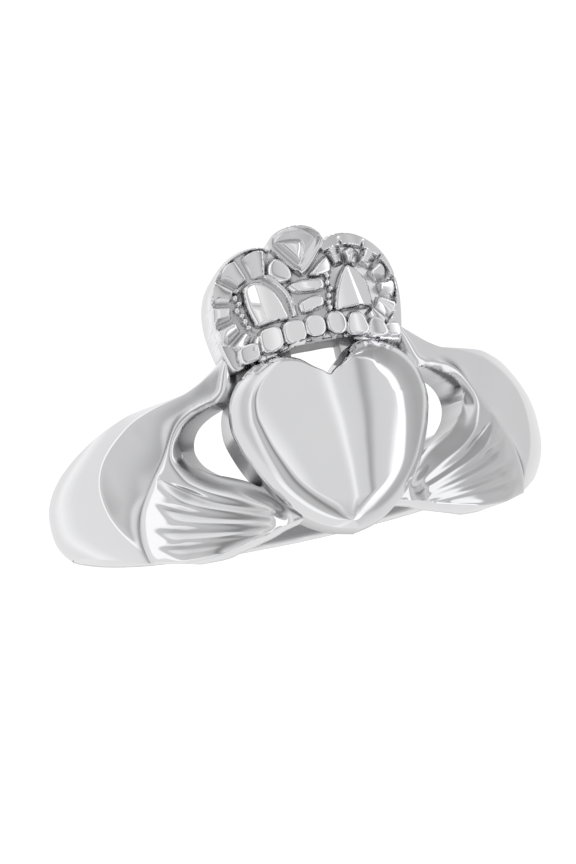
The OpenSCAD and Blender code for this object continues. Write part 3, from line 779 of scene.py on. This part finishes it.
def domesOn(h, x, z):
    face = crown["domeLeftFace"]
    tilt = face["tilt"] + face["tiltMore"] * fade(z, face["moreAt"])
    leftOf = face["from"] - x - face["slant"] * (z - face["foot"])
    tilt = tilt * np.clip(leftOf / face["over"], 0, 1)
    h = raised(h, shapeIn("domeLeft", x, z), face["tall"], face["soft"], tilt)
    face = crown["domeRightFace"]
    down = face["top"] - z
    ridge = x - face["ridgeAt"] - down * face["slant"]
    fold = np.clip(ridge - face["foldAt"] - face["foldSlant"] * down, 0, None)
    facet = face["ridge"] - np.where(ridge < 0, -face["left"] * ridge,
                                     face["right"] * ridge + face["fold"] * fold)
    facet = np.clip(facet, 0, face["ridge"])
    return raised(h, shapeIn("domeRight", x, z), face["tall"], face["soft"], facet)


def petalOn(h, x, z):
    form = crown["petalForm"]
    d = shapeIn("petal", x, z)
    bowl = form["rim"] - form["bowl"] * fade(d, form["bowlAt"])
    dish = np.where(d > 0, bowl * quarter(d / crown["lip"]), 0)
    h = np.where(d > form["margin"], np.maximum(h * (d < form["clear"]), dish), h)
    fold = sideOf(np.array(form["foldLine"]), x, z)[0] + form["foldPast"]
    h = h + (d > form["clear"]) * form["fold"] * np.exp(-(fold / form["foldWidth"]) ** 2)
    d = shapeIn("petalFace", x, z)
    face = 1 - np.exp(-(d / form["faceSoft"]) ** 2)
    face = form["faceLow"] + crown["relief"] * form["faceTall"] * face
    return np.where(d > 0, np.maximum(h, face), h)


def crownSkin(x, z, edge):
    # height of the ornament over the plate; edge is the distance from the crown's outline
    h = raysOn(np.full_like(x, crown["plain"]), x, z, edge)
    frame, nugget = crown["frame"], crown["nugget"]
    line = curveThrough(frame["line"], frame["steps"])
    bar = np.exp(-(sideOf(line, x, z)[0] / frame["width"]) ** 2)
    h = np.maximum(h, frame["tall"] * bar * (z > frame["over"]))
    for i, at in enumerate(crown["nuggets"]):
        flat = nugget["flat"][0] - nugget["flat"][1] * (i % 2)
        away = np.hypot(x - at[0], (z - at[1]) * flat)
        tall = nugget["tall"] + nugget["uneven"] * (i % 3)
        h = np.maximum(h, pillow(nugget["radius"] - away, tall, nugget["soft"]))
    h = domesOn(beadsOn(h, x, z), x, z)
    for name, tall, slope in crown["lumps"]:
        d = shapeIn(name, x, z)
        middle = np.mean([q[0] for q in crown[name]])
        tilt = slope * (x - middle) * ease(d / crown["lip"])
        h = raised(h, d, tall, crown["lumpSoft"], tilt)
    return petalOn(h, x, z)


def cavity(h, reach):
    # how far each place lies under its surroundings
    blur = h.copy()
    for turn in range(2):
        for axis in (0, 1):
            total = np.zeros_like(blur)
            for k in range(-reach, reach + 1):
                total += np.roll(blur, k, axis)
            blur = total / (2 * reach + 1)
    return blur - h


def crownTone(h, x, z, edge):
    # painted shade in the low places, on the plain plate, in the rays' valleys and over the petal
    # but not its face
    shadeSettings = crown["shadeSettings"]
    deep = fade(cavity(h, shadeSettings["lowReach"]), shadeSettings["lowAt"])
    dark = shadeSettings["low"] * deep * fade(edge, shadeSettings["lowEdge"])
    plain = shadeSettings["plain"] * fade(h, shadeSettings["plainUnder"])
    dark = np.maximum(dark, plain * fade(edge, shadeSettings["plainEdge"]) * fade(z, shadeSettings["plainOver"]))
    dark = np.maximum(dark, valleys(x, z) * fade(edge, shadeSettings["valleyEdge"]))
    bright = 1 - shadeSettings["faceLess"] * ease(shapeIn("petalFace", x, z) / shadeSettings["faceAt"])
    petal = shadeSettings["petal"] * ease(shapeIn("petal", x, z) / crown["lip"])
    return np.maximum(dark, petal * bright)


def makeCrown():
    half = curveThrough(crown["outline"], crown["steps"])
    outline = mirrored(half) * (crown["width"] / 2, crown["height"]) + (0, crown["foot"])
    xs, zs = np.linspace(*crown["across"]), np.linspace(*crown["up"])
    x, z = np.meshgrid(xs, zs, indexing="ij")
    d = sideOf(outline, x, z, closed=True)[0]
    h = crownSkin(x, z, d)
    edge = crown["edgeFall"] * (quarter(d / crown["edgeRound"]) - 1)
    r = hoop["bore"] + crown["thick"] + h * ease(d / crown["lip"]) + edge
    front = np.stack([x, -np.sqrt(r ** 2 - x ** 2), z], -1)
    n, m = x.shape
    k = n * m
    behind = -np.sqrt((hoop["bore"] + crown["behind"]) ** 2 - xs ** 2)
    back = [np.stack([xs, behind, np.full(n, zs[j])], 1) for j in (0, -1)]
    points = np.concatenate([front.reshape(-1, 3)] + back)
    faces = gridFaces(n, m)
    for i in range(n - 1):
        faces += [(k + i, k + i + 1, k + n + i + 1, k + n + i),
                  (i * m, i * m + m, k + i + 1, k + i),
                  (i * m + m - 1, i * m + 2 * m - 1, k + n + i + 1, k + n + i)]
    for i in (0, n - 1):
        faces.append(tuple(range(i * m, i * m + m)) + (k + n + i, k + i))
    dark = crownTone(h, x, z, d).ravel()
    piece = makeMesh("crown", points, faces, np.concatenate([dark, np.zeros(2 * n)]),
                     np.concatenate([0 * dark, np.ones(2 * n)]))
    fixNormals(piece)
    near, far = [np.stack([outline[:, 0], np.full(len(outline), y), outline[:, 1]], 1)
                 for y in (crown["cutFrom"], crown["cutTo"])]
    cutWith(piece, prismBetween("crownOutline", near, far, 0), "INTERSECT")
    p = placesOf(piece)
    onRim = np.abs(sideOf(outline, p[:, 0], p[:, 2], closed=True)[0]) < hoop["onCut"]
    shadeSettings = crown["shadeSettings"]
    # painted shade along the crown's foot, where it meets the heart
    rim = shadeSettings["foot"] * onRim * (1 - fade(p[:, 2] - crown["foot"], shadeSettings["footAt"]))
    changeMark(piece, "paintedShade", lambda kept: np.maximum(kept, rim))
    smoothByAngle(piece, crown["sharp"])
    print("crown:", len(piece.data.polygons), "faces")
    return piece


# Finish

silver = {
    # the darker colour is the colour of the painted shade
    "color": (.9, .9, .905), "shadeTone": (.2, .2, .205),
    "cloud": {"Scale": 260, "Detail": 3}, "cloudTint": (.93, .93, .95),
    "rough": {"To Min": .075, "To Max": .42},  # from no painted shade to the most painted shade
    "insideRougher": .18 - .075,
    "ripple": {"Scale": 420, "Detail": 2}, "bump": {"Strength": .012, "Distance": .0002},
}


def addNode(tree, kind, inputs, **settings):
    # each input takes a value or the output of another node
    node = tree.nodes.new("ShaderNode" + kind)
    for key, value in settings.items():
        setattr(node, key, value)
    for key, value in inputs.items():
        if isinstance(value, bpy.types.NodeSocket):
            tree.links.new(value, node.inputs[key])
        else:
            node.inputs[key].default_value = value
    return node.outputs


def mixColors(node, factor, a, b):
    return node("Mix", {"Factor": factor, "A": a, "B": b}, data_type="RGBA")["Result"]


def makeSilver():
    material = bpy.data.materials.new("polishedSilver")
    material.use_nodes = True
    material.node_tree.nodes.clear()
    node = partial(addNode, material.node_tree)
    place = node("TexCoord", {})["Object"]
    # the first mark is painted shade, the second tells the faces towards the finger
    paintedShade, inside = [node("Attribute", {}, attribute_name=key)["Fac"]
                       for key in ("paintedShade", "inside")]

    # faint clouds in the silver, and painted shade in the low places, along the cuts and on the
    # inside
    cloud = node("TexNoise", {"Vector": place, **silver["cloud"]})["Fac"]
    cloudy = [c * t for c, t in zip(silver["color"], silver["cloudTint"])]
    tint = mixColors(node, cloud, (*silver["color"], 1), (*cloudy, 1))
    # painted shade: the silver darkens towards the shade colour as far as the mark says
    shadedTint = mixColors(node, paintedShade, tint, (*silver["shadeTone"], 1))

    # low places and the inside are less polished
    rough = node("MapRange", {"Value": paintedShade, **silver["rough"]})["Result"]
    satin = node("Math", {0: inside, 1: silver["insideRougher"], 2: rough},
                 operation="MULTIPLY_ADD")[0]

    # polished by hand, so not quite even
    ripple = node("TexNoise", {"Vector": place, **silver["ripple"]})["Fac"]
    bump = node("Bump", {"Height": ripple, **silver["bump"]})["Normal"]
    shader = node("BsdfPrincipled", {"Metallic": 1, "Base Color": shadedTint, "Roughness": satin,
                                     "Normal": bump})[0]
    node("OutputMaterial", {0: shader})
    print("silver mixed")
    return material


# Floor, light and camera

studio = {
    "distance": 231.5, "turn": 12, "roll": 10.8,  # mm and degrees
    "cameraHeight": .5,  # mm above the floor
    "pixelsPerMm": 23.64, "holeAt": (293, 475), "picture": (576, 864),
    "sensor": 36, "nearest": .005,
    "floorSize": .3,
    "paper": {"Base Color": (.9, .9, .9, 1), "Roughness": .9, "Specular IOR Level": 0,
        "Emission Color": (1, 1, 1, 1), "Emission Strength": .45},
    "backdrop": 1.05,
    "lamp": {"size": .3, "at": (.12, .3, .5), "power": .5},
    # brightness of the cards round the ring, by degrees from the side of the heart
    "cards": [(-180, .82), (-165, .84), (-152, 1), (-135, .84), (-104, .82), (-98, 1.1),
        (-84, 1.1), (-78, .64), (-62, .68), (-48, .54), (-40, .3), (-34, .34), (-26, .68),
        (-16, .75), (-11, 1), (-6, .75), (11, .75), (12.4, 1.2), (13.8, .75), (20.2, .73),
        (21.6, .15), (23, .73), (30, .74), (32.5, 1.35), (60, 1.35), (67, .66), (100, .68),
        (120, .76), (150, .84), (180, .82)],
    # the same for what comes from above, with the heights on the sky where it takes over
    "ceiling": [(-180, .7), (-120, 1), (-35, 1), (10, .62), (60, .45), (130, .5), (180, .7)],
    "ceilingFrom": {"From Min": .5, "From Max": .8},
}


def makeFloor():
    s = studio["floorSize"]
    mesh = bpy.data.meshes.new("floor")
    mesh.from_pydata([(-s, -s, 0), (s, -s, 0), (s, s, 0), (-s, s, 0)], [], [(0, 1, 2, 3)])
    floor = bpy.data.objects.new("floor", mesh)
    bpy.context.scene.collection.objects.link(floor)
    paper = bpy.data.materials.new("whitePaper")
    paper.use_nodes = True
    shader = paper.node_tree.nodes["Principled BSDF"]
    for key, value in studio["paper"].items():
        shader.inputs[key].default_value = value
    mesh.materials.append(paper)
    floor.visible_glossy = False  # the cards reach round under the ring as well
    print("floor laid")


def makeLight():
    world = bpy.data.worlds.new("studio")
    bpy.context.scene.world = world
    world.use_nodes = True
    world.node_tree.nodes.clear()
    node = partial(addNode, world.node_tree)

    # direction round the ring as a share of the full turn
    parts = node("SeparateXYZ", {0: node("TexCoord", {})["Generated"]})
    back = node("Math", {0: parts["Y"], 1: -1}, operation="MULTIPLY")[0]
    turn = node("Math", {0: parts["X"], 1: back}, operation="ARCTAN2")[0]
    halfTurn = {"From Min": -math.pi, "From Max": math.pi}
    share = node("MapRange", {"Value": turn, **halfTurn})["Result"]
    peak = max(bright for angle, bright in studio["cards"])

    def rampOf(cards):
        color = node("ValToRGB", {"Fac": share})["Color"]
        stops = color.node.color_ramp.elements
        for i, (angle, bright) in enumerate(cards):
            position = (angle + 180) / 360
            inner = 0 < i < len(cards) - 1
            stop = stops.new(position) if inner else stops[0 if i == 0 else -1]
            stop.position = position
            stop.color = (bright / peak,) * 3 + (1,)
        return color

    height = node("MapRange", {"Value": parts["Z"], **studio["ceilingFrom"]},
                  interpolation_type="SMOOTHSTEP")["Result"]
    above = mixColors(node, height, rampOf(studio["cards"]), rampOf(studio["ceiling"]))
    sky = node("Background", {"Color": above, "Strength": peak})[0]
    # what is seen behind the ring is plain white
    seen = node("Background", {"Color": (1, 1, 1, 1), "Strength": studio["backdrop"]})[0]
    direct = node("LightPath", {})["Is Camera Ray"]
    mix = node("MixShader", {0: direct, 1: sky, 2: seen})[0]
    node("OutputWorld", {"Surface": mix})

    box = bpy.data.lights.new("softBox", "AREA")
    box.size, box.energy = studio["lamp"]["size"], studio["lamp"]["power"]
    softBox = bpy.data.objects.new("softBox", box)
    softBox.location = studio["lamp"]["at"]
    softBox.rotation_euler = (-softBox.location).to_track_quat("-Z", "Y").to_euler()
    bpy.context.scene.collection.objects.link(softBox)
    bpy.context.scene.view_settings.view_transform = "Standard"
    print("lights set:", len(studio["cards"]), "cards")


def makeCamera():
    turn, roll = math.radians(studio["turn"]), math.radians(studio["roll"])
    wide, tall = studio["picture"]
    offRight = (studio["holeAt"][0] - wide / 2) / studio["pixelsPerMm"] * mm
    offDown = (studio["holeAt"][1] - tall / 2) / studio["pixelsPerMm"] * mm
    hole = Vector(lay([[0, 0, 0]])[0])
    # the camera looks a little upwards from just over the floor
    climb = hole.z + offDown * math.cos(roll) - studio["cameraHeight"] * mm
    rise = math.asin(climb / (studio["distance"] * mm))
    forward = Vector((math.sin(turn) * math.cos(rise), math.cos(turn) * math.cos(rise),
                      math.sin(rise)))
    level = Vector((math.cos(turn), -math.sin(turn), 0))
    upright = level.cross(forward)
    # a picture leaning anticlockwise is a camera rolled clockwise
    right = level * math.cos(roll) - upright * math.sin(roll)
    up = level * math.sin(roll) + upright * math.cos(roll)
    aim = hole - right * offRight + up * offDown
    camera = bpy.data.cameras.new("camera")
    camera.sensor_fit = "HORIZONTAL"
    camera.sensor_width = studio["sensor"]
    camera.lens = studio["pixelsPerMm"] * studio["distance"] * studio["sensor"] / wide
    camera.clip_start = studio["nearest"]
    cameraObject = bpy.data.objects.new("camera", camera)
    turned = Matrix((right, up, -forward)).transposed().to_4x4()
    place = aim - forward * studio["distance"] * mm
    cameraObject.matrix_world = Matrix.Translation(place) @ turned
    bpy.context.scene.collection.objects.link(cameraObject)
    bpy.context.scene.camera = cameraObject
    print("camera height above the floor:", round(place.z / mm, 2), "mm")


makeCamera()
makeFloor()
makeLight()
metal = makeSilver()
for piece in (makeBand(), makeHeart(), makeCrown()):
    piece.data.materials.clear()
    piece.data.materials.append(metal)
    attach(piece, "root")
    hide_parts("ring")
